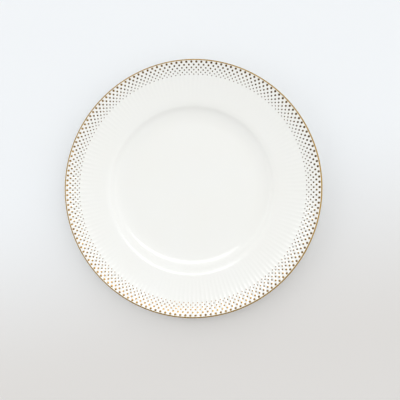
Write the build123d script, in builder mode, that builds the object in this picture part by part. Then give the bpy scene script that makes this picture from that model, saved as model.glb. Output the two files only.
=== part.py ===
"""Rimmed china dinner plate with a gilded lip and a band of gilt dots printed on the rim.

Millimetres, +Z up. The origin is the centre of the foot ring, on the surface that the plate stands on.
"""

import os
from math import asin, cos, radians, sin

from build123d import *

# ---------------------------------------------------------------- driving dimensions
plate_diameter = 270.0  # over the gilding
foot_margin = 3.0  # how far the foot ring's outer edge stands beyond the floor of the well
foot_land_width = 2.2  # flat edge of the foot ring that touches the table
foot_height = 2.8  # depth of the recess inside the foot ring
foot_flank_run = 1.6  # how far the inner flank of the foot leans in over its height
floor_thickness = 4.0
wall_thickness = 3.9
lip_radius = 1.0  # half the thickness of the rounded lip

well_floor_diameter = 136.0  # flat part of the well
sweep_radius = 50.0  # gentle concave sweep round the edge of the floor
sweep_slope = 15.0  # slope where the sweep passes into the wall, degrees
wall_radius = 14.5  # tighter concave turn up the wall
wall_slope = 40.0  # steepest slope of the wall, degrees
shoulder_radius = 9.0  # convex roll over the top of the wall
shoulder_slope = 17.0  # slope where the shoulder begins to run out, degrees
run_out_radius = 32.0  # gentler convex run-out onto the rim
rim_slope_inner = 9.0  # slope of the rim beside the shoulder, degrees
rim_slope_outer = 16.0  # slope of the rim beside the lip, degrees
under_slope = 5.0  # slope of the underside where it leaves the foot ring, degrees

gilding_thickness = 0.08
gilding_turn = 160.0  # how far the gilding wraps round the lip, degrees

# dot rows from the lip inwards
dot_count = 157  # dots in every row
dot_insets = [2.8, 5.7, 8.4, 10.8, 13.0, 15.1]  # from the plate's edge to the dot centres
dot_diameter = 2.3  # dots of the outermost row
dot_shrink = 0.86  # each row's dots against those of the row outside it

# ---------------------------------------------------------------- places worked out from them
body_radius = plate_diameter / 2 - gilding_thickness
floor_radius = well_floor_diameter / 2
floor_top = foot_height + floor_thickness
foot_outer = floor_radius + foot_margin
foot_inner = foot_outer - foot_land_width


def arc_run(radius, start, end):
    """How far outward an arc takes the profile between two slopes, given in degrees."""
    return radius * abs(sin(radians(end)) - sin(radians(start)))


def arc_rise(radius, start, end):
    """How far up an arc takes the profile between two slopes, given in degrees."""
    return radius * abs(cos(radians(end)) - cos(radians(start)))


profile_arcs = [
    (sweep_radius, 0, sweep_slope),
    (wall_radius, sweep_slope, wall_slope),
    (shoulder_radius, wall_slope, shoulder_slope),
    (run_out_radius, shoulder_slope, rim_slope_inner),
]
rim_start_radius = floor_radius + sum(arc_run(*arc) for arc in profile_arcs)
rim_start_height = floor_top + sum(arc_rise(*arc) for arc in profile_arcs)
sweep_centre = (floor_radius, floor_top + sweep_radius)
wall_centre = (
    sweep_centre[0] + (sweep_radius - wall_radius) * sin(radians(sweep_slope)),
    sweep_centre[1] - (sweep_radius - wall_radius) * cos(radians(sweep_slope)),
)

inner_sine, inner_cosine = sin(radians(rim_slope_inner)), cos(radians(rim_slope_inner))
outer_sine, outer_cosine = sin(radians(rim_slope_outer)), cos(radians(rim_slope_outer))
rim_end_radius = body_radius - lip_radius * (1 + outer_sine)
rim_arc_radius = (rim_end_radius - rim_start_radius) / (outer_sine - inner_sine)
rim_end_height = rim_start_height + rim_arc_radius * (inner_cosine - outer_cosine)
rim_axis_radius = rim_start_radius - rim_arc_radius * inner_sine
rim_axis_height = rim_start_height + rim_arc_radius * inner_cosine
lip_centre = (rim_end_radius + lip_radius * outer_sine, rim_end_height - lip_radius * outer_cosine)

pitch_angle = 360 / dot_count


def slope_at(radius):
    """Slope of the rim at a radius, as an angle in radians."""
    return asin(inner_sine + (radius - rim_start_radius) / rim_arc_radius)


def plane_on_arc(axis_radius, axis_height, arc_radius, slope):
    """Plane across an arc of the rim: x runs round the plate and y points up off the rim's face."""
    origin = (axis_radius + arc_radius * sin(slope), 0, axis_height - arc_radius * cos(slope))
    return Plane(origin=origin, x_dir=(0, 1, 0), z_dir=(cos(slope), 0, sin(slope)))


# ---------------------------------------------------------------- profile of the plate
with BuildSketch(Plane.XZ) as plate_section:
    with BuildLine():
        floor = Line((0, floor_top), (floor_radius, floor_top))
        sweep = JernArc(floor @ 1, floor % 1, sweep_radius, sweep_slope)
        wall = JernArc(sweep @ 1, sweep % 1, wall_radius, wall_slope - sweep_slope)
        shoulder = JernArc(wall @ 1, wall % 1, shoulder_radius, shoulder_slope - wall_slope)
        run_out = JernArc(shoulder @ 1, shoulder % 1, run_out_radius, rim_slope_inner - shoulder_slope)
        rim = JernArc(run_out @ 1, run_out % 1, rim_arc_radius, rim_slope_outer - rim_slope_inner)
        lip = JernArc(rim @ 1, rim % 1, lip_radius, -180)
        under_sweep = CenterArc(
            sweep_centre, sweep_radius + wall_thickness, under_slope - 90, sweep_slope - under_slope
        )
        under_wall = CenterArc(
            wall_centre, wall_radius + wall_thickness, sweep_slope - 90, wall_slope - sweep_slope
        )
        under_rim = TangentArc(lip @ 1, under_wall @ 1, tangent=lip % 1)
        outer_flank = Line(under_sweep @ 0, (foot_outer, 0))
        foot_land = Line(outer_flank @ 1, (foot_inner, 0))
        inner_flank = Line(foot_land @ 1, (foot_inner - foot_flank_run, foot_height))
        recess = Line(inner_flank @ 1, (0, foot_height))
        Line(recess @ 1, floor @ 0)
    make_face()

# ---------------------------------------------------------------- porcelain body
with BuildPart() as porcelain_body:
    add(plate_section.sketch)
    revolve(axis=Axis.Z)
porcelain_body.part.label = "porcelain_body"

# ---------------------------------------------------------------- gilding
with BuildPart() as gilt_edge_band:
    with BuildSketch(Plane.XZ):
        with BuildLine():
            outer_face = CenterArc(
                lip_centre, lip_radius + gilding_thickness, 90 + rim_slope_outer, -gilding_turn
            )
            inner_face = CenterArc(lip_centre, lip_radius, 90 + rim_slope_outer, -gilding_turn)
            Line(outer_face @ 0, inner_face @ 0)
            Line(outer_face @ 1, inner_face @ 1)
        make_face()
    revolve(axis=Axis.Z)
gilt_edge_band.part.label = "gilt_edge_band"

# a short length of the rim, which gives every dot the shape of the face under it
with BuildPart() as rim_sample:
    add(plate_section.sketch)
    revolve(axis=Axis.Z, revolution_arc=2 * pitch_angle)

dot_rows = []
for row, inset in enumerate(dot_insets):
    rim_face = plane_on_arc(
        rim_axis_radius,
        rim_axis_height,
        rim_arc_radius,
        slope_at(plate_diameter / 2 - inset),
    )
    # the rows are staggered: each one stands half a pitch on from its neighbours
    turn = pitch_angle * (1 if row % 2 == 0 else 0.5)
    with BuildPart() as dot:
        with Locations(Rot(Z=turn) * rim_face.location * Rot(X=-90)):
            Cylinder(dot_diameter * dot_shrink**row / 2, 2)
        add(rim_sample.part.moved(Pos(Z=gilding_thickness)), mode=Mode.INTERSECT)
        add(rim_sample.part, mode=Mode.SUBTRACT)
    dots = [dot.part.moved(Rot(Z=place * pitch_angle)) for place in range(dot_count)]
    dot_rows.append(Compound(label=f"gilt_dot_row_{row + 1}", children=dots))

# ---------------------------------------------------------------- files
os.makedirs("parts", exist_ok=True)
export_step(porcelain_body.part, "parts/porcelain_body.step")
export_step(gilt_edge_band.part, "parts/gilt_edge_band.step")
for dot_row in dot_rows:
    export_step(dot_row, f"parts/{dot_row.label}.step")
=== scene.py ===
"""A rimmed china dinner plate: glazed porcelain with a fluted rim, a gilded lip and six rows of gilt dots.

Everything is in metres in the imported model's frame: +Z is up, and the plate stands on its foot ring at z = 0.
Sizes in the classes below are in millimetres, as a maker would give them, and `MM` turns them into metres.
"""

import logging
import math
from dataclasses import dataclass
from enum import Enum
from typing import Any, Sequence

import bpy
import numpy as np
from mathutils import Matrix, Vector


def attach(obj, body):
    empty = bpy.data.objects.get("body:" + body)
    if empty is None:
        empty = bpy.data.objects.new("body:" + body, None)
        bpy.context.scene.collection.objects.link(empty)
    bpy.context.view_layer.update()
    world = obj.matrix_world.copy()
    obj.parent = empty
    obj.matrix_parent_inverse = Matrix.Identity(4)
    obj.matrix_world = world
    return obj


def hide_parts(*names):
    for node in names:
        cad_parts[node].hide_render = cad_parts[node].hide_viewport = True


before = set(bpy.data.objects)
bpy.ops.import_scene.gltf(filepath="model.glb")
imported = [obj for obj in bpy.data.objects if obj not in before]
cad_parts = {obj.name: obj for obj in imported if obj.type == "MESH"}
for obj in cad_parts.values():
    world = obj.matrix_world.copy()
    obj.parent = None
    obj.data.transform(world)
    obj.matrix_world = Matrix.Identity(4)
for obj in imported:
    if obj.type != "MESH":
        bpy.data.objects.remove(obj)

MM = 0.001
AXIS_REACH = 1e-6  # a section's point this close to the axis becomes a pole
SHARP_ANGLE = 40.0  # edges that turn further than this, in degrees, are shaded sharp
NOISE_RANGE = (0.3, 0.7)  # where most of a noise texture's values lie
log = logging.getLogger("dinner_plate")

Point = tuple[float, float]


class Slot(Enum):
    """The record's material slots."""

    PORCELAIN = "porcelain"
    GILDING_EDGE = "gilding_edge"
    GILDING_DOTS = "gilding_dots"


# ------------------------------------------------------------------------------------------ helpers


def hex_colour(code: str) -> tuple[float, float, float, float]:
    """Turns an sRGB hex colour into the linear colour that a shader socket takes.

    Args:
        code: Six hex digits after a hash, such as "#F4F1EA".

    Returns:
        Linear red, green and blue, and an alpha of 1.
    """
    parts = [int(code[i : i + 2], 16) / 255 for i in (1, 3, 5)]
    linear = [p / 12.92 if p <= 0.04045 else ((p + 0.055) / 1.055) ** 2.4 for p in parts]
    return linear[0], linear[1], linear[2], 1.0


def add_node(
    tree: bpy.types.NodeTree, kind: str, inputs: dict[Any, Any] | None = None, **settings: Any
) -> bpy.types.Node:
    """Adds a node, gives it its settings, and fills its inputs with links or numbers.

    Args:
        tree: The node tree that gets the node.
        kind: Blender's name for the node type.
        inputs: Input name or index to a socket to link from, or to a plain value.
        **settings: The node's own properties, such as operation or blend_type.

    Returns:
        The new node.
    """
    node = tree.nodes.new(kind)
    for name, value in settings.items():
        setattr(node, name, value)
    for key, value in (inputs or {}).items():
        if isinstance(value, bpy.types.NodeSocket):
            tree.links.new(value, node.inputs[key])
        else:
            node.inputs[key].default_value = value
    return node


def times_ramps(
    tree: bpy.types.NodeTree, value: Any, ramps: Sequence[tuple[Any, ...]]
) -> bpy.types.NodeSocket:
    """Multiplies a value by a smooth ramp for each of the things that shape it.

    Args:
        tree: The node tree that gets the nodes.
        value: Socket or number to start from.
        ramps: For each, the socket that it reads, where it starts and ends, and what it gives before and
            after that. There is at least one.

    Returns:
        The socket of the shaped value.
    """
    for reads, start, end, before, after in ramps:
        limits = {"Value": reads, 1: start, 2: end, 3: before, 4: after}
        ramp = add_node(tree, "ShaderNodeMapRange", limits, interpolation_type="SMOOTHSTEP").outputs[0]
        value = add_node(tree, "ShaderNodeMath", {0: value, 1: ramp}, operation="MULTIPLY").outputs[0]
    return value


def on_circle(centre: Point, radius: float, angle: float) -> Point:
    """A circle's point at an angle, in degrees from the outward direction."""
    turn = math.radians(angle)
    return centre[0] + radius * math.cos(turn), centre[1] + radius * math.sin(turn)


def arc_points(centre: Point, radius: float, start: float, end: float, steps: int) -> list[Point]:
    """Points along an arc, without its first point.

    Args:
        centre: Centre of the arc, as distance from the plate's axis and height.
        radius: Radius of the arc.
        start: Angle of the first point, in degrees from the outward direction.
        end: Angle of the last point.
        steps: How many points come back.

    Returns:
        The points, in order.
    """
    return [on_circle(centre, radius, angle) for angle in np.linspace(start, end, steps + 1)[1:]]


def lathe(name: str, section: Sequence[Point], around: int, closed: bool = False) -> bpy.types.Object:
    """Turns a section round the plate's axis into a smooth mesh object.

    Args:
        name: Name of the object and its mesh.
        section: Points as distance from the axis and height, in millimetres. The outside is on the left
            as the section is followed outwards along the top. A point on the axis becomes a pole.
        around: How many vertices each ring has.
        closed: Whether the last ring joins the first, as on a ring-shaped piece.

    Returns:
        The object, linked to the scene.
    """
    angles = np.arange(around) * 2 * math.pi / around
    verts: list[tuple[float, float, float]] = []
    rings: list[list[int]] = []
    for radius, height in section:
        first = len(verts)
        if radius < AXIS_REACH:
            verts.append((0.0, 0.0, height * MM))
            rings.append([first] * around)
            continue
        verts += [(radius * MM * math.cos(a), radius * MM * math.sin(a), height * MM) for a in angles]
        rings.append(list(range(first, first + around)))
    faces: list[tuple[int, ...]] = []
    pairs = list(zip(rings, rings[1:])) + ([(rings[-1], rings[0])] if closed else [])
    for inner, outer in pairs:
        for i in range(around):
            j = (i + 1) % around
            corners = (inner[i], outer[i], outer[j], inner[j])
            faces.append(tuple(dict.fromkeys(corners)))
    mesh = bpy.data.meshes.new(name)
    mesh.from_pydata(verts, [], faces)
    mesh.validate()
    mesh.shade_smooth()
    piece = bpy.data.objects.new(name, mesh)
    bpy.context.scene.collection.objects.link(piece)
    return piece


def put_inputs(modifier: bpy.types.Modifier, values: dict[str, Any]) -> None:
    """Sets a Geometry Nodes modifier's inputs by their sockets' identifiers.

    Args:
        modifier: The modifier, with its tree in place.
        values: Input name to value.
    """
    for item in modifier.node_group.interface.items_tree:
        if item.item_type == "SOCKET" and item.in_out == "INPUT" and item.name in values:
            modifier[item.identifier] = values[item.name]


def settle(piece: bpy.types.Object) -> bpy.types.Object:
    """Makes the result of a piece's modifiers its own plain mesh, and takes the modifiers off.

    Args:
        piece: The object with live modifiers.

    Returns:
        The same object, with a plain mesh.
    """
    depsgraph = bpy.context.evaluated_depsgraph_get()
    mesh = bpy.data.meshes.new_from_object(piece.evaluated_get(depsgraph), depsgraph=depsgraph)
    piece.modifiers.clear()
    old = piece.data
    piece.data = mesh
    bpy.data.meshes.remove(old)
    mesh.name = piece.name
    mesh.shade_smooth()
    mesh.set_sharp_from_angle(angle=math.radians(SHARP_ANGLE))
    return piece


# ------------------------------------------------------------------------------------------- sizes


@dataclass(frozen=True)
class PlateSizes:
    """The plate's sizes in millimetres and degrees, the same as the CAD's."""

    diameter: float = 270.0
    foot_margin: float = 3.0  # how far the foot ring reaches past the floor's edge
    foot_land: float = 2.2
    foot_height: float = 2.8
    foot_flank_run: float = 1.6
    floor_thickness: float = 4.0
    wall_thickness: float = 3.9
    lip_radius: float = 1.0
    well_floor_diameter: float = 136.0
    sweep_radius: float = 50.0  # gentle sweep round the edge of the floor
    sweep_slope: float = 15.0
    wall_radius: float = 14.5  # tighter turn up the wall
    wall_slope: float = 40.0
    shoulder_radius: float = 9.0  # roll over the top of the wall
    shoulder_slope: float = 17.0
    run_out_radius: float = 32.0  # gentler run-out onto the rim
    rim_slope_inner: float = 9.0
    rim_slope_outer: float = 16.0
    under_slope: float = 5.0
    gilding: float = 0.08
    gilding_turn: float = 160.0

    @property
    def body_radius(self) -> float:
        """Radius of the bare porcelain."""
        return self.diameter / 2 - self.gilding

    @property
    def floor_top(self) -> float:
        """Height of the well's floor."""
        return self.foot_height + self.floor_thickness

    @property
    def floor_radius(self) -> float:
        """Radius of the flat part of the well."""
        return self.well_floor_diameter / 2

    @property
    def foot_radius(self) -> float:
        """Outer radius of the foot ring."""
        return self.floor_radius + self.foot_margin

    @property
    def profile_arcs(self) -> list[tuple[float, float, float]]:
        """Radius, first slope and last slope of each arc from the floor's edge to the rim."""
        return [
            (self.sweep_radius, 0.0, self.sweep_slope),
            (self.wall_radius, self.sweep_slope, self.wall_slope),
            (self.shoulder_radius, self.wall_slope, self.shoulder_slope),
            (self.run_out_radius, self.shoulder_slope, self.rim_slope_inner),
        ]

    @property
    def rim_start(self) -> Point:
        """Where the shoulder's run-out passes into the rim."""
        run, rise = 0.0, 0.0
        for radius, start, end in self.profile_arcs:
            run += radius * abs(math.sin(math.radians(end)) - math.sin(math.radians(start)))
            rise += radius * abs(math.cos(math.radians(end)) - math.cos(math.radians(start)))
        return self.floor_radius + run, self.floor_top + rise

    @property
    def sweep_centre(self) -> Point:
        """Centre of the sweep round the edge of the floor."""
        return self.floor_radius, self.floor_top + self.sweep_radius

    @property
    def wall_centre(self) -> Point:
        """Centre of the turn up the wall."""
        return on_circle(self.sweep_centre, self.sweep_radius - self.wall_radius, self.sweep_slope - 90)

    @property
    def rim_end_radius(self) -> float:
        """Where the rim's upper face passes into the lip."""
        return self.body_radius - self.lip_radius * (1 + math.sin(math.radians(self.rim_slope_outer)))

    @property
    def rim_arc_radius(self) -> float:
        """Radius of the rim's gentle upward sweep."""
        inner, outer = math.radians(self.rim_slope_inner), math.radians(self.rim_slope_outer)
        return (self.rim_end_radius - self.rim_start[0]) / (math.sin(outer) - math.sin(inner))

    @property
    def rim_axis(self) -> Point:
        """Centre of the rim's sweep."""
        return on_circle(self.rim_start, self.rim_arc_radius, self.rim_slope_inner + 90)

    @property
    def lip_centre(self) -> Point:
        """Centre of the rounded lip."""
        return on_circle(self.rim_axis, self.rim_arc_radius + self.lip_radius, self.rim_slope_outer - 90)

    def rim_slope(self, radius: float) -> float:
        """Slope of the rim's upper face at a radius, in radians."""
        inner = math.sin(math.radians(self.rim_slope_inner))
        return math.asin(inner + (radius - self.rim_start[0]) / self.rim_arc_radius)

    def rim_height(self, radius: float) -> float:
        """Height of the rim's upper face at a radius, before fluting."""
        return self.rim_axis[1] - self.rim_arc_radius * math.cos(self.rim_slope(radius))


@dataclass(frozen=True)
class FluteSizes:
    """The shallow flutes pressed into the rim, in millimetres."""

    count: int = 157
    share: float = 0.88  # part of the pitch that a flute takes; the rest is the ridge between two
    depth_inner: float = 0.065
    depth_outer: float = 0.3
    fade_in: Point = (88.0, 106.0)  # radii where a flute begins and reaches its depth
    fade_out: Point = (131.6, 133.5)  # radii where it starts to shallow and ends


class FluteGroup:
    """A Geometry Nodes group that says how far the flutes lower the rim at a place."""

    def __init__(self, flutes: FluteSizes) -> None:
        """Builds the group once, for every piece that follows the fluted rim.

        Args:
            flutes: Sizes of the flutes.
        """
        self.flutes = flutes
        self.tree = bpy.data.node_groups.new("flute_depth", "GeometryNodeTree")
        interface = self.tree.interface
        for name, value in (
            ("Count", float(flutes.count)),
            ("Share of pitch", flutes.share),
            ("Depth at shoulder", flutes.depth_inner * MM),
            ("Depth at lip", flutes.depth_outer * MM),
            ("Starts at radius", flutes.fade_in[0] * MM),
            ("Full from radius", flutes.fade_in[1] * MM),
            ("Full to radius", flutes.fade_out[0] * MM),
            ("Ends at radius", flutes.fade_out[1] * MM),
        ):
            socket = interface.new_socket(name=name, in_out="INPUT", socket_type="NodeSocketFloat")
            socket.default_value = value
        interface.new_socket(name="Depth", in_out="OUTPUT", socket_type="NodeSocketFloat")
        self._wire()

    def _wire(self) -> None:
        """Adds the nodes: place round the plate gives the hollow, distance from the axis gives its depth."""
        tree = self.tree
        sizes = add_node(tree, "NodeGroupInput").outputs
        place = add_node(tree, "GeometryNodeInputPosition").outputs[0]
        axes = add_node(tree, "ShaderNodeSeparateXYZ", {0: place}).outputs
        flat = add_node(tree, "ShaderNodeCombineXYZ", {"X": axes["X"], "Y": axes["Y"]}).outputs[0]
        radius = add_node(tree, "ShaderNodeVectorMath", {0: flat}, operation="LENGTH").outputs["Value"]
        angle = add_node(tree, "ShaderNodeMath", {0: axes["Y"], 1: axes["X"]}, operation="ARCTAN2").outputs[0]
        turn = add_node(tree, "ShaderNodeMath", {0: angle, 1: 2 * math.pi}, operation="DIVIDE").outputs[0]
        # across one flute, from -1 at one ridge through 0 at its floor to 1 at the next ridge
        passed = add_node(
            tree, "ShaderNodeMath", {0: turn, 1: sizes["Count"], 2: 0.5}, operation="MULTIPLY_ADD"
        ).outputs[0]
        part = add_node(tree, "ShaderNodeMath", {0: passed}, operation="FRACT").outputs[0]
        across = add_node(
            tree, "ShaderNodeMath", {0: part, 1: 2.0, 2: -1.0}, operation="MULTIPLY_ADD"
        ).outputs[0]
        # a hollow is a parabola, 1 deep at its floor, and flat ridges are left between the hollows
        wide = add_node(
            tree, "ShaderNodeMath", {0: across, 1: sizes["Share of pitch"]}, operation="DIVIDE"
        ).outputs[0]
        square = add_node(tree, "ShaderNodeMath", {0: wide, 1: wide}, operation="MULTIPLY").outputs[0]
        dip = add_node(tree, "ShaderNodeMath", {0: 1.0, 1: square}, operation="SUBTRACT").outputs[0]
        hollow = add_node(tree, "ShaderNodeMath", {0: dip, 1: 0.0}, operation="MAXIMUM").outputs[0]
        starts, full_from = sizes["Starts at radius"], sizes["Full from radius"]
        full_to, ends = sizes["Full to radius"], sizes["Ends at radius"]
        ramps = (
            (radius, full_from, full_to, sizes["Depth at shoulder"], sizes["Depth at lip"]),
            (radius, starts, full_from, 0.0, 1.0),
            (radius, full_to, ends, 1.0, 0.0),
        )
        add_node(tree, "NodeGroupOutput", {"Depth": times_ramps(tree, hollow, ramps)})


# ---------------------------------------------------------------------------------------- finishes


@dataclass(frozen=True)
class GlazedPorcelain:
    """White hard-paste porcelain under a clear glaze, fired glossy, and left bare where the foot stands.

    To the eye it is a slightly warm white with a sharp, wet gloss. The glaze pooled a little unevenly, so its
    reflections waver very slightly, and the foot ring's wiped edge is dry and matt.
    """

    body: str = "#F6F6F3"
    body_warm: str = "#F5F4EF"
    biscuit: str = "#E4DED2"
    glaze_ior: float = 1.52
    gloss_roughness: Point = (0.045, 0.085)
    ripple_mm: float = 22.0
    ripple_height_mm: float = 0.03
    pool_mm: float = 55.0
    grain_mm: float = 0.35
    grain_height_mm: float = 0.05
    wiped_mm: Point = (0.25, 0.5)  # heights between which the wiped foot passes into glaze
    biscuit_roughness: float = 0.6

    def make(self) -> bpy.types.Material:
        """Builds the material.

        Returns:
            The glazed porcelain.
        """
        material = bpy.data.materials.new("glazed_porcelain")
        material.use_nodes = True
        tree = material.node_tree
        tree.nodes.clear()
        place = add_node(tree, "ShaderNodeTexCoord").outputs["Object"]
        height = add_node(tree, "ShaderNodeSeparateXYZ", {0: place}).outputs["Z"]

        # the dry edge of the foot ring, wiped clean of glaze over its lowest half millimetre
        low, high = self.wiped_mm
        bare = add_node(
            tree, "ShaderNodeMapRange", {"Value": height, 1: low * MM, 2: high * MM, 3: 1.0, 4: 0.0}
        ).outputs[0]
        # glaze that pooled a little thicker in places reads a touch warmer
        pools = add_node(
            tree, "ShaderNodeTexNoise", {"Vector": place, "Scale": 1 / (self.pool_mm * MM), "Detail": 2.0}
        ).outputs[0]
        whites = {0: pools, 6: hex_colour(self.body), 7: hex_colour(self.body_warm)}
        glazed = add_node(tree, "ShaderNodeMix", whites, data_type="RGBA").outputs[2]
        ends = {0: bare, 6: glazed, 7: hex_colour(self.biscuit)}
        colour = add_node(tree, "ShaderNodeMix", ends, data_type="RGBA")
        # gloss varies a little with the firing, and the bare foot is matt
        ends = dict(enumerate((pools, *NOISE_RANGE, *self.gloss_roughness)))
        gloss = add_node(tree, "ShaderNodeMapRange", ends).outputs[0]
        roughness = add_node(tree, "ShaderNodeMix", {0: bare, 2: gloss, 3: self.biscuit_roughness}).outputs[0]
        # long, very low ripples in the glaze, and the fine grain of the bare clay
        ripple = add_node(
            tree, "ShaderNodeTexNoise", {"Vector": place, "Scale": 1 / (self.ripple_mm * MM), "Detail": 1.0}
        ).outputs[0]
        wave = {"Strength": 0.6, "Distance": self.ripple_height_mm * MM, "Height": ripple}
        rippled = add_node(tree, "ShaderNodeBump", wave).outputs[0]
        grain = add_node(
            tree, "ShaderNodeTexNoise", {"Vector": place, "Scale": 1 / (self.grain_mm * MM), "Detail": 3.0}
        ).outputs[0]
        dry = add_node(tree, "ShaderNodeMath", {0: grain, 1: bare}, operation="MULTIPLY").outputs[0]
        tooth = {"Strength": 0.5, "Distance": self.grain_height_mm * MM, "Height": dry, "Normal": rippled}
        normal = add_node(tree, "ShaderNodeBump", tooth).outputs[0]
        shader = add_node(
            tree,
            "ShaderNodeBsdfPrincipled",
            {
                "Base Color": colour.outputs[2],
                "Roughness": roughness,
                "IOR": self.glaze_ior,
                "Normal": normal,
            },
        )
        add_node(tree, "ShaderNodeOutputMaterial", {"Surface": shader.outputs[0]})
        return material


@dataclass(frozen=True)
class BurnishedGold:
    """Gold brushed on round the lip on a turning wheel, fired and burnished.

    To the eye it is a deep, warm metal with fine streaks that run round the plate, as the brush laid it on.
    """

    thick: str = "#BA9438"
    thin: str = "#977529"
    roughness: Point = (0.16, 0.34)
    streak_mm: float = 0.25
    streak_height_mm: float = 0.02
    streaks_round: float = 9.0

    def make(self) -> bpy.types.Material:
        """Builds the material.

        Returns:
            The burnished gold.
        """
        material = bpy.data.materials.new("burnished_gold")
        material.use_nodes = True
        tree = material.node_tree
        tree.nodes.clear()
        place = add_node(tree, "ShaderNodeTexCoord").outputs["Object"]
        axes = add_node(tree, "ShaderNodeSeparateXYZ", {0: place}).outputs
        turn = add_node(tree, "ShaderNodeMath", {0: axes["Y"], 1: axes["X"]}, operation="ARCTAN2").outputs[0]
        round_plate = add_node(
            tree, "ShaderNodeMath", {0: turn, 1: self.streaks_round}, operation="MULTIPLY"
        ).outputs[0]
        flat = add_node(tree, "ShaderNodeCombineXYZ", {"X": axes["X"], "Y": axes["Y"]}).outputs[0]
        radius = add_node(tree, "ShaderNodeVectorMath", {0: flat}, operation="LENGTH").outputs["Value"]
        fine = 1 / (self.streak_mm * MM)
        across = add_node(tree, "ShaderNodeMath", {0: radius, 1: fine}, operation="MULTIPLY").outputs[0]
        down = add_node(tree, "ShaderNodeMath", {0: axes["Z"], 1: fine}, operation="MULTIPLY").outputs[0]
        stretched = add_node(
            tree, "ShaderNodeCombineXYZ", {"X": round_plate, "Y": across, "Z": down}
        ).outputs[0]
        streaks = add_node(
            tree, "ShaderNodeTexNoise", {"Vector": stretched, "Scale": 1.0, "Detail": 3.0}
        ).outputs[0]
        golds = {0: streaks, 6: hex_colour(self.thin), 7: hex_colour(self.thick)}
        colour = add_node(tree, "ShaderNodeMix", golds, data_type="RGBA")
        ends = dict(enumerate((streaks, *NOISE_RANGE, *self.roughness)))
        rough = add_node(tree, "ShaderNodeMapRange", ends).outputs[0]
        brushed = {"Strength": 0.35, "Distance": self.streak_height_mm * MM, "Height": streaks}
        bump = add_node(tree, "ShaderNodeBump", brushed)
        shader = add_node(
            tree,
            "ShaderNodeBsdfPrincipled",
            {"Base Color": colour.outputs[2], "Metallic": 1.0, "Roughness": rough, "Normal": bump.outputs[0]},
        )
        add_node(tree, "ShaderNodeOutputMaterial", {"Surface": shader.outputs[0]})
        return material


@dataclass(frozen=True)
class BrightGold:
    """Bright gold printed in dots and fired on the glaze.

    To the eye it is a thin mirror-like metal with a fine screen grain, a shade browner where it printed thin.
    """

    full: str = "#A8854C"
    starved: str = "#7C5D34"
    roughness: Point = (0.08, 0.2)
    grain_mm: float = 0.45
    grain_height_mm: float = 0.02
    grain_share: float = 0.45  # how much the grain adds to the patches
    patch_mm: float = 9.0
    print_range: Point = (0.5, 0.95)  # sums of grain and patches that print thin and full

    def make(self) -> bpy.types.Material:
        """Builds the material.

        Returns:
            The bright gold.
        """
        material = bpy.data.materials.new("bright_gold_transfer")
        material.use_nodes = True
        tree = material.node_tree
        tree.nodes.clear()
        place = add_node(tree, "ShaderNodeTexCoord").outputs["Object"]
        grain = add_node(
            tree, "ShaderNodeTexNoise", {"Vector": place, "Scale": 1 / (self.grain_mm * MM), "Detail": 2.0}
        ).outputs[0]
        patches = add_node(
            tree, "ShaderNodeTexNoise", {"Vector": place, "Scale": 1 / (self.patch_mm * MM), "Detail": 1.0}
        ).outputs[0]
        laid = add_node(
            tree, "ShaderNodeMath", {0: grain, 1: self.grain_share, 2: patches}, operation="MULTIPLY_ADD"
        ).outputs[0]
        weight = add_node(tree, "ShaderNodeMapRange", dict(enumerate((laid, *self.print_range)))).outputs[0]
        golds = {0: weight, 6: hex_colour(self.starved), 7: hex_colour(self.full)}
        colour = add_node(tree, "ShaderNodeMix", golds, data_type="RGBA")
        ends = dict(enumerate((grain, *NOISE_RANGE, *self.roughness)))
        rough = add_node(tree, "ShaderNodeMapRange", ends).outputs[0]
        screen = {"Strength": 0.3, "Distance": self.grain_height_mm * MM, "Height": grain}
        bump = add_node(tree, "ShaderNodeBump", screen)
        shader = add_node(
            tree,
            "ShaderNodeBsdfPrincipled",
            {"Base Color": colour.outputs[2], "Metallic": 1.0, "Roughness": rough, "Normal": bump.outputs[0]},
        )
        add_node(tree, "ShaderNodeOutputMaterial", {"Surface": shader.outputs[0]})
        return material


# ------------------------------------------------------------------------------------------ pieces


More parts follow.
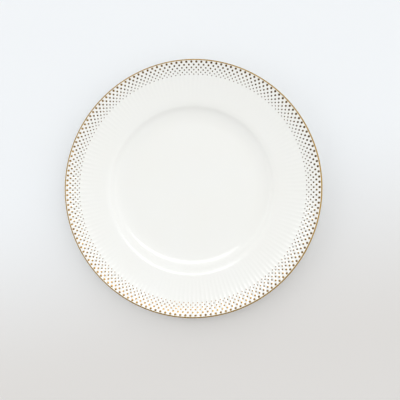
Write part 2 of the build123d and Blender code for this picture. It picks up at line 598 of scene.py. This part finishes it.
@dataclass
class PorcelainBody:
    """The one fired piece of china: well, wall, shoulder, fluted rim, lip and foot ring."""

    sizes: PlateSizes
    flute_group: FluteGroup
    finish: bpy.types.Material
    steps_per_flute: int = 8
    floor_rings: tuple[float, ...] = (20.0, 42.0, 60.0)  # radii of rings in the flat of the well
    arc_steps: tuple[int, ...] = (9, 7, 6, 5)  # one for each of the sizes' profile_arcs
    # radii along the rim, closer together where the flutes fade out
    rim_rings: tuple[float, ...] = (96, 100, 105, 110, 115, 120, 125, 129, 131.2, 132, 132.6, 133.1, 133.4)
    lip_steps: int = 8
    under_steps: tuple[int, int, int] = (6, 4, 3)  # rim, wall and sweep, seen from below
    # edges of the foot ring's land, as steps out from its outer and inner radius and heights
    foot_outer_edge: tuple[Point, ...] = ((0.12, 0.45), (-0.05, 0.12), (-0.45, 0.0))
    foot_inner_edge: tuple[Point, ...] = ((0.45, 0.0), (0.08, 0.12), (-0.2, 0.45))
    flank_top: Point = (0.85, 0.86)  # where the inner flank ends, as parts of its run and height
    flank_ease: float = 0.6  # how far it then runs on as it meets the recess
    recess_ring: float = 40.0  # radius of a ring in the flat of the recess

    def section(self) -> tuple[list[Point], list[bool]]:
        """Traces half of the plate's section, from the middle of the well round to under its middle.

        Returns:
            The points, and for each whether it is on the upper face, where the flutes may be.
        """
        s = self.sizes
        points: list[Point] = [(r, s.floor_top) for r in (0.0, *self.floor_rings, s.floor_radius)]
        for (radius, start, end), steps in zip(s.profile_arcs, self.arc_steps):
            points += self._profile_arc(points[-1], radius, start, end, steps)
        points += [(r, s.rim_height(r)) for r in (*self.rim_rings, s.rim_end_radius)]
        on_top = len(points)
        lip_start = 90 + s.rim_slope_outer
        points += arc_points(s.lip_centre, s.lip_radius, lip_start, lip_start - 180, self.lip_steps)
        points += self._underside(points[-1])
        return points, [i < on_top for i in range(len(points))]

    @staticmethod
    def _profile_arc(last: Point, radius: float, start: float, end: float, steps: int) -> list[Point]:
        """Traces an arc of the upper face, given the slopes it starts and ends with.

        Args:
            last: Point that the arc starts from.
            radius: Radius of the arc.
            start: Slope at its start, in degrees.
            end: Slope at its end. The arc is hollow where this is the steeper one, and round elsewhere.
            steps: How many points come back.

        Returns:
            The points, without last.
        """
        side = 1 if end > start else -1  # the centre is above a hollow arc and below a round one
        centre = on_circle(last, side * radius, start + 90)
        return arc_points(centre, radius, start - side * 90, end - side * 90, steps)

    def _underside(self, lip_end: Point) -> list[Point]:
        """Traces the underside from the lip to the axis.

        Args:
            lip_end: Where the lip passes into the underside.

        Returns:
            The points, without lip_end.
        """
        s = self.sizes
        reach, sweep_reach = s.wall_radius + s.wall_thickness, s.sweep_radius + s.wall_thickness
        rim_steps, wall_steps, sweep_steps = self.under_steps
        wall_end = on_circle(s.wall_centre, reach, s.wall_slope - 90)
        # one arc leaves the lip along its tangent and lands on the underside of the wall
        lean = math.radians(s.rim_slope_outer)
        tangent = Vector((-math.cos(lean), -math.sin(lean)))
        chord = Vector(wall_end) - Vector(lip_end)
        normal = Vector((-tangent.y, tangent.x))
        radius = chord.length_squared / (2 * chord.dot(normal))
        middle = Vector(lip_end) + normal * radius
        start = math.degrees(math.atan2(lip_end[1] - middle.y, lip_end[0] - middle.x))
        end = math.degrees(math.atan2(wall_end[1] - middle.y, wall_end[0] - middle.x))
        points = arc_points((middle.x, middle.y), abs(radius), start, end, rim_steps)
        points += arc_points(s.wall_centre, reach, s.wall_slope - 90, s.sweep_slope - 90, wall_steps)
        points += arc_points(
            s.sweep_centre, sweep_reach, s.sweep_slope - 90, s.under_slope - 90, sweep_steps
        )
        # the foot ring, then the recess inside it
        inner = s.foot_radius - s.foot_land
        points += [(s.foot_radius + out, height) for out, height in self.foot_outer_edge]
        points += [(inner + out, height) for out, height in self.foot_inner_edge]
        points += [(inner - s.foot_flank_run * self.flank_top[0], s.foot_height * self.flank_top[1])]
        recess = (inner - s.foot_flank_run - self.flank_ease, self.recess_ring, 0.0)
        return points + [(r, s.foot_height) for r in recess]

    def flute_tree(self) -> bpy.types.NodeTree:
        """Builds the tree that presses the flutes into the rim's upper face.

        Returns:
            The Geometry Nodes tree.
        """
        tree = bpy.data.node_groups.new("press_flutes", "GeometryNodeTree")
        new_socket = tree.interface.new_socket
        new_socket(name="Plate", in_out="INPUT", socket_type="NodeSocketGeometry")
        new_socket(name="Flute depth scale", in_out="INPUT", socket_type="NodeSocketFloat")
        new_socket(name="Glaze", in_out="INPUT", socket_type="NodeSocketMaterial")
        new_socket(name="Plate", in_out="OUTPUT", socket_type="NodeSocketGeometry")
        given = add_node(tree, "NodeGroupInput").outputs
        flutes = add_node(tree, "GeometryNodeGroup", node_tree=self.flute_group.tree)
        upper = add_node(tree, "GeometryNodeInputNamedAttribute", {"Name": "upper_face"}, data_type="BOOLEAN")
        depth = add_node(
            tree,
            "ShaderNodeMath",
            {0: flutes.outputs["Depth"], 1: given["Flute depth scale"]},
            operation="MULTIPLY",
        ).outputs[0]
        drop = add_node(tree, "ShaderNodeMath", {0: depth, 1: -1.0}, operation="MULTIPLY").outputs[0]
        offset = add_node(tree, "ShaderNodeCombineXYZ", {"Z": drop}).outputs[0]
        pressed = add_node(
            tree,
            "GeometryNodeSetPosition",
            {"Geometry": given["Plate"], "Selection": upper.outputs["Attribute"], "Offset": offset},
        ).outputs[0]
        realised = add_node(tree, "GeometryNodeRealizeInstances", {"Geometry": pressed}).outputs[0]
        dressed = add_node(
            tree, "GeometryNodeSetMaterial", {"Geometry": realised, "Material": given["Glaze"]}
        ).outputs[0]
        add_node(tree, "NodeGroupOutput", {0: dressed})
        return tree

    def build(self) -> bpy.types.Object:
        """Turns the section, presses the flutes and stands the result in for the CAD's body.

        Returns:
            The finished piece.
        """
        section, upper = self.section()
        around = self.steps_per_flute * self.flute_group.flutes.count
        piece = lathe("china_plate", section, around)
        marks: list[bool] = []
        for (radius, _), is_upper in zip(section, upper):
            marks += [is_upper] * (1 if radius < AXIS_REACH else around)
        piece.data.attributes.new("upper_face", "BOOLEAN", "POINT").data.foreach_set("value", marks)
        modifier = piece.modifiers.new("flutes", "NODES")
        modifier.node_group = self.flute_tree()
        put_inputs(modifier, {"Flute depth scale": 1.0, "Glaze": self.finish})
        settle(piece)
        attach(piece, "root")
        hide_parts("porcelain_body")
        return piece


@dataclass
class EdgeGilding:
    """The gold brushed on round the lip."""

    sizes: PlateSizes
    finish: bpy.types.Material
    steps: int = 14
    around: int = 942
    sunk: float = 0.03  # how far the inner face lies in the porcelain, so that no gap shows
    tuck: float = 2.0  # how far short of the edges the inner face stops, in degrees

    def build(self) -> bpy.types.Object:
        """Turns the thin crescent of gold and stands it in for the CAD's band.

        Returns:
            The finished piece.
        """
        s = self.sizes
        start = 90 + s.rim_slope_outer
        end = start - s.gilding_turn
        outer, inner = s.lip_radius + s.gilding, s.lip_radius - self.sunk
        section = [on_circle(s.lip_centre, outer, start)]
        section += arc_points(s.lip_centre, outer, start, end, self.steps)
        section += arc_points(s.lip_centre, inner, end - self.tuck, start + self.tuck, self.steps)
        piece = lathe("lip_gilding", section, self.around, closed=True)
        piece.data.materials.append(self.finish)
        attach(piece, "root")
        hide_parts("gilt_edge_band")
        return piece


@dataclass
class DotRows:
    """The six rows of gilt dots, each row half a pitch on from the next."""

    sizes: PlateSizes
    flute_group: FluteGroup
    finish: bpy.types.Material
    insets: tuple[float, ...] = (2.8, 5.7, 8.4, 10.8, 13.0, 15.1)
    diameter: float = 2.3
    shrink: float = 0.86
    sides: int = 14
    sunk: float = 0.03  # how far a dot's underside lies in the glaze, so that no gap shows

    def tree(self) -> bpy.types.NodeTree:
        """Builds the tree that prints one row of dots on the fluted rim.

        Returns:
            The Geometry Nodes tree.
        """
        tree = bpy.data.node_groups.new("print_dot_row", "GeometryNodeTree")
        new_socket = tree.interface.new_socket
        new_socket(name="Count", in_out="INPUT", socket_type="NodeSocketInt")
        for name in ("Dot radius", "Gold thickness", "Row radius", "Row height", "Rim slope", "Turn"):
            new_socket(name=name, in_out="INPUT", socket_type="NodeSocketFloat")
        new_socket(name="Gold", in_out="INPUT", socket_type="NodeSocketMaterial")
        new_socket(name="Dots", in_out="OUTPUT", socket_type="NodeSocketGeometry")
        given = add_node(tree, "NodeGroupInput").outputs

        disc = add_node(
            tree,
            "GeometryNodeMeshCylinder",
            {
                "Vertices": self.sides,
                "Side Segments": 1,
                "Fill Segments": 1,
                "Radius": given["Dot radius"],
                "Depth": given["Gold thickness"],
            },
            fill_type="TRIANGLE_FAN",
        ).outputs["Mesh"]
        # lay the disc on the rim at the row's radius
        lean = add_node(
            tree, "ShaderNodeMath", {0: given["Rim slope"], 1: -1.0}, operation="MULTIPLY"
        ).outputs[0]
        lifted = add_node(
            tree,
            "ShaderNodeMath",
            {0: given["Gold thickness"], 1: 0.5, 2: given["Row height"]},
            operation="MULTIPLY_ADD",
        ).outputs[0]
        laid = add_node(
            tree,
            "GeometryNodeTransform",
            {
                "Geometry": disc,
                "Translation": add_node(
                    tree, "ShaderNodeCombineXYZ", {"X": given["Row radius"], "Z": lifted}
                ).outputs[0],
                "Rotation": add_node(tree, "ShaderNodeCombineXYZ", {"Y": lean}).outputs[0],
            },
        ).outputs[0]
        # one copy at each place round the plate
        places = add_node(tree, "GeometryNodePoints", {"Count": given["Count"]}).outputs[0]
        index = add_node(tree, "GeometryNodeInputIndex").outputs[0]
        share = add_node(tree, "ShaderNodeMath", {0: index, 1: given["Count"]}, operation="DIVIDE").outputs[0]
        angle = add_node(
            tree, "ShaderNodeMath", {0: share, 1: 2 * math.pi, 2: given["Turn"]}, operation="MULTIPLY_ADD"
        ).outputs[0]
        copies = add_node(
            tree,
            "GeometryNodeInstanceOnPoints",
            {
                "Points": places,
                "Instance": laid,
                "Rotation": add_node(tree, "ShaderNodeCombineXYZ", {"Z": angle}).outputs[0],
            },
        ).outputs[0]
        realised = add_node(tree, "GeometryNodeRealizeInstances", {"Geometry": copies}).outputs[0]
        # follow the flutes
        depth = add_node(tree, "GeometryNodeGroup", node_tree=self.flute_group.tree).outputs["Depth"]
        drop = add_node(tree, "ShaderNodeMath", {0: depth, 1: -1.0}, operation="MULTIPLY").outputs[0]
        offset = add_node(tree, "ShaderNodeCombineXYZ", {"Z": drop}).outputs[0]
        pressed = add_node(tree, "GeometryNodeSetPosition", {"Geometry": realised, "Offset": offset})
        gold = {"Geometry": pressed.outputs[0], "Material": given["Gold"]}
        gilded = add_node(tree, "GeometryNodeSetMaterial", gold)
        add_node(tree, "NodeGroupOutput", {0: gilded.outputs[0]})
        return tree

    def build(self) -> list[bpy.types.Object]:
        """Prints the rows and stands each in for its CAD node.

        Returns:
            The finished pieces, from the lip inwards.
        """
        s = self.sizes
        tree = self.tree()
        pitch = 2 * math.pi / self.flute_group.flutes.count
        rows = []
        for row, inset in enumerate(self.insets):
            radius = s.diameter / 2 - inset
            diameter = self.diameter * self.shrink**row
            name = f"gilt_dots_{row + 1}"
            piece = bpy.data.objects.new(name, bpy.data.meshes.new(name))
            bpy.context.scene.collection.objects.link(piece)
            modifier = piece.modifiers.new("dots", "NODES")
            modifier.node_group = tree
            put_inputs(
                modifier,
                {
                    "Count": self.flute_group.flutes.count,
                    "Dot radius": diameter / 2 * MM,
                    "Gold thickness": (s.gilding + self.sunk) * MM,
                    "Row radius": radius * MM,
                    "Row height": (s.rim_height(radius) - self.sunk) * MM,
                    "Rim slope": s.rim_slope(radius),
                    "Turn": 0.0 if row % 2 == 0 else pitch / 2,
                    "Gold": self.finish,
                },
            )
            settle(piece)
            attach(piece, "root")
            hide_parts(f"gilt_dot_row_{row + 1}")
            rows.append(piece)
        return rows


# ------------------------------------------------------------------------------------------ studio


@dataclass
class Studio:
    """A pale floor with painted shade in front, a white surround with one long soft light, and the camera over
    the plate.

    The surround's brightness is set by direction, which has a length of 1. A fade gives two values of its
    north (Y) or up (Z) part, between which one brightness passes into the next.
    """

    distance: float = 450.0  # from the camera to the plate's lip plane, in millimetres
    lens: float = 39.0
    yaw: float = -6.0  # degrees off straight down, about Y
    pitch: float = 1.7  # and about X
    aside: Point = (-10.9, 13.08)  # the plate's centre from the middle of the view, in millimetres
    lip_height: float = 23.0
    floor_size: float = 9000.0
    # painted shade: the near paper's darker, warmer grey stands in for shade on the floor towards the front
    shaded_near_paper: str = "#DEDBD8"
    far_paper: str = "#F2F4F6"
    paper_slant: float = -0.2  # how far the papers' border comes forward (-Y) for each step east
    paper_fade: Point = (-200.0, 50.0)  # where the border's near and far side cross the middle
    paper_roughness: float = 0.9
    paper_specular: float = 0.2
    side_wall: float = 1.43  # brightness of the surround at the plate's sides
    front_wall: float = 0.64
    front_fade: Point = (-0.95, 0.1)  # north
    back_wall: float = 0.93
    back_fade: Point = (0.3, 0.85)  # north
    low_wall: float = 0.78  # part of those brightnesses down beside the floor
    low_fade: Point = (0.0, 0.6)  # up
    dark_side: Point = (-0.29, -0.09)  # where the ceiling is unlit, as a slant from straight overhead
    dark_fade: Point = (0.8, 0.98)  # cosines of the angle from its middle
    ceiling: float = 0.3  # part of the brightness left there
    strength: float = 3.2
    light_east: Point = (-0.35, 0.25)  # where the soft light lies on a plane one unit overhead
    light_north: Point = (0.265, 0.46)
    light_edge: float = 0.03
    horizon: float = 0.05  # the soft light is cut off where a direction rises less than this
    tint: tuple[float, float, float, float] = (0.985, 0.995, 1.0, 1.0)  # of the light, linear

    def floor(self) -> bpy.types.Object:
        """Lays the pale floor, made greyer in front and towards the east with painted shade.

        Returns:
            The floor.
        """
        half = self.floor_size / 2 * MM
        mesh = bpy.data.meshes.new("floor")
        corners = [(-half, -half, 0), (half, -half, 0), (half, half, 0), (-half, half, 0)]
        mesh.from_pydata(corners, [], [(0, 1, 2, 3)])
        floor = bpy.data.objects.new("floor", mesh)
        bpy.context.scene.collection.objects.link(floor)
        material = bpy.data.materials.new("pale_paper_painted_shade")
        material.use_nodes = True
        tree = material.node_tree
        tree.nodes.clear()
        place = add_node(tree, "ShaderNodeTexCoord").outputs["Object"]
        axes = add_node(tree, "ShaderNodeSeparateXYZ", {0: place}).outputs
        # painted shade: a warmer grey in front and towards the east passes into a cool white behind
        forward = add_node(
            tree,
            "ShaderNodeMath",
            {0: axes["X"], 1: self.paper_slant, 2: axes["Y"]},
            operation="MULTIPLY_ADD",
        ).outputs[0]
        near, far = self.paper_fade
        limits = {"Value": forward, 1: near * MM, 2: far * MM}
        shade = add_node(tree, "ShaderNodeMapRange", limits, interpolation_type="SMOOTHSTEP").outputs[0]
        papers = {0: shade, 6: hex_colour(self.shaded_near_paper), 7: hex_colour(self.far_paper)}
        paper = add_node(tree, "ShaderNodeMix", papers, data_type="RGBA").outputs[2]
        shader = add_node(
            tree,
            "ShaderNodeBsdfPrincipled",
            {
                "Base Color": paper,
                "Roughness": self.paper_roughness,
                "Specular IOR Level": self.paper_specular,
            },
        )
        add_node(tree, "ShaderNodeOutputMaterial", {"Surface": shader.outputs[0]})
        mesh.materials.append(material)
        return floor

    def surround(self) -> bpy.types.World:
        """Makes the white surround, dimmer in front of the plate, with a long soft light high behind it.

        Returns:
            The world.
        """
        world = bpy.data.worlds.new("white_studio")
        world.use_nodes = True
        tree = world.node_tree
        tree.nodes.clear()
        direction = add_node(tree, "ShaderNodeTexCoord").outputs["Generated"]
        axes = add_node(tree, "ShaderNodeSeparateXYZ", {0: direction}).outputs
        unlit = Vector((*self.dark_side, 1.0)).normalized()
        towards = add_node(
            tree, "ShaderNodeVectorMath", {0: direction, 1: unlit}, operation="DOT_PRODUCT"
        ).outputs["Value"]
        # white all round, brightest at the sides, dimmest in front and where the ceiling is unlit
        surround = times_ramps(
            tree,
            1.0,
            (
                (axes["Y"], *self.front_fade, self.front_wall, self.side_wall),
                (axes["Y"], *self.back_fade, 1.0, self.back_wall / self.side_wall),
                (axes["Z"], *self.low_fade, self.low_wall, 1.0),
                (towards, *self.dark_fade, 1.0, self.ceiling),
            ),
        )
        # the soft light, a rectangle on a plane overhead
        above = add_node(
            tree, "ShaderNodeMath", {0: axes["Z"], 1: self.horizon}, operation="MAXIMUM"
        ).outputs[0]
        over = add_node(
            tree, "ShaderNodeMath", {0: axes["Z"], 1: self.horizon}, operation="GREATER_THAN"
        ).outputs[0]
        lamp = add_node(tree, "ShaderNodeMath", {0: over, 1: self.strength}, operation="MULTIPLY").outputs[0]
        for axis, (low, high) in (("X", self.light_east), ("Y", self.light_north)):
            slant = add_node(tree, "ShaderNodeMath", {0: axes[axis], 1: above}, operation="DIVIDE").outputs[0]
            near_edge = (slant, low, low + self.light_edge, 0.0, 1.0)
            far_edge = (slant, high - self.light_edge, high, 1.0, 0.0)
            lamp = times_ramps(tree, lamp, (near_edge, far_edge))
        strength = add_node(tree, "ShaderNodeMath", {0: surround, 1: lamp}, operation="ADD").outputs[0]
        background = add_node(tree, "ShaderNodeBackground", {"Color": self.tint, "Strength": strength})
        add_node(tree, "ShaderNodeOutputWorld", {"Surface": background.outputs[0]})
        bpy.context.scene.world = world
        return world

    def camera(self) -> bpy.types.Object:
        """Stands the camera over the plate, almost along its axis.

        Returns:
            The camera.
        """
        tip = Matrix.Rotation(-math.radians(self.pitch), 3, "X")
        swing = Matrix.Rotation(math.radians(self.yaw), 3, "Y")
        facing = (swing @ tip).transposed()
        shift = Vector((*self.aside, -self.distance))
        place = (Vector((0, 0, self.lip_height)) - facing @ shift) * MM
        camera = bpy.data.objects.new("camera", bpy.data.cameras.new("camera"))
        camera.data.lens = self.lens
        camera.data.clip_start = 0.01
        camera.matrix_world = Matrix.Translation(place) @ facing.to_4x4()
        bpy.context.scene.collection.objects.link(camera)
        bpy.context.scene.camera = camera
        return camera


def main() -> None:
    """Builds the plate piece by piece, then the studio round it."""
    logging.basicConfig(level=logging.INFO, format="%(name)s: %(message)s")
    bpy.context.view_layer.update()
    bpy.context.scene.view_settings.view_transform = "Standard"
    sizes = PlateSizes()
    flute_group = FluteGroup(FluteSizes())
    body = PorcelainBody(sizes, flute_group, GlazedPorcelain().make()).build()
    log.info("%s: %d faces", body.name, len(body.data.polygons))
    edge = EdgeGilding(sizes, BurnishedGold().make()).build()
    log.info("%s: %d faces", edge.name, len(edge.data.polygons))
    for row in DotRows(sizes, flute_group, BrightGold().make()).build():
        log.info("%s: %d faces", row.name, len(row.data.polygons))
    studio = Studio()
    studio.floor()
    studio.surround()
    studio.camera()


if __name__ == "__main__":
    main()
